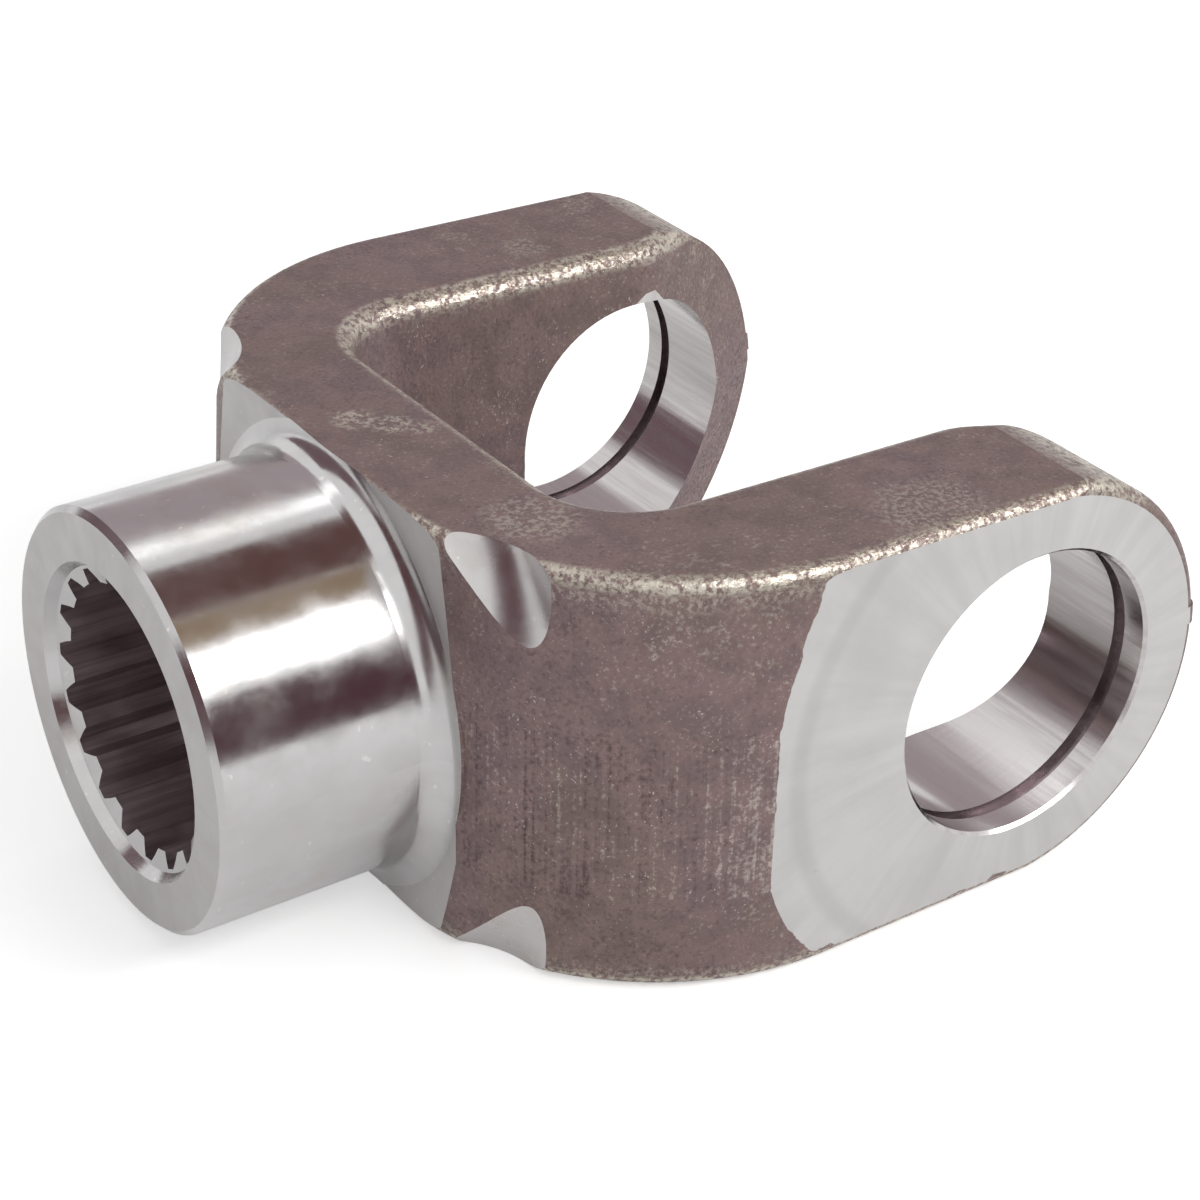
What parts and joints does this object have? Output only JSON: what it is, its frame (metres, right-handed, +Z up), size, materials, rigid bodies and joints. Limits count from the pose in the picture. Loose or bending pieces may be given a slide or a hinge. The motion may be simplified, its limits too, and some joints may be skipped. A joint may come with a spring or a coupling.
{
  "type": "universal joint yoke",
  "caption": "Forged clevis yoke of a universal joint: U-shaped fork with spot-faced ears bored in line, and a turned hub with an internally splined bore.",
  "frame": {"origin": "joint centre, where the hub axis crosses the axis of the two bearing bores", "axes": "+X along the hub axis from the hub to the ear tips, +Y along the bearing bores, +Z up, square to both"},
  "size_m": [0.1166, 0.101, 0.0533],
  "materials": {
    "forged_steel": "dark as-forged skin with bright machined faces and bores"
  },
  "bodies": {
    "root": {"yoke": "forged_steel"}
  },
  "joints": []
}
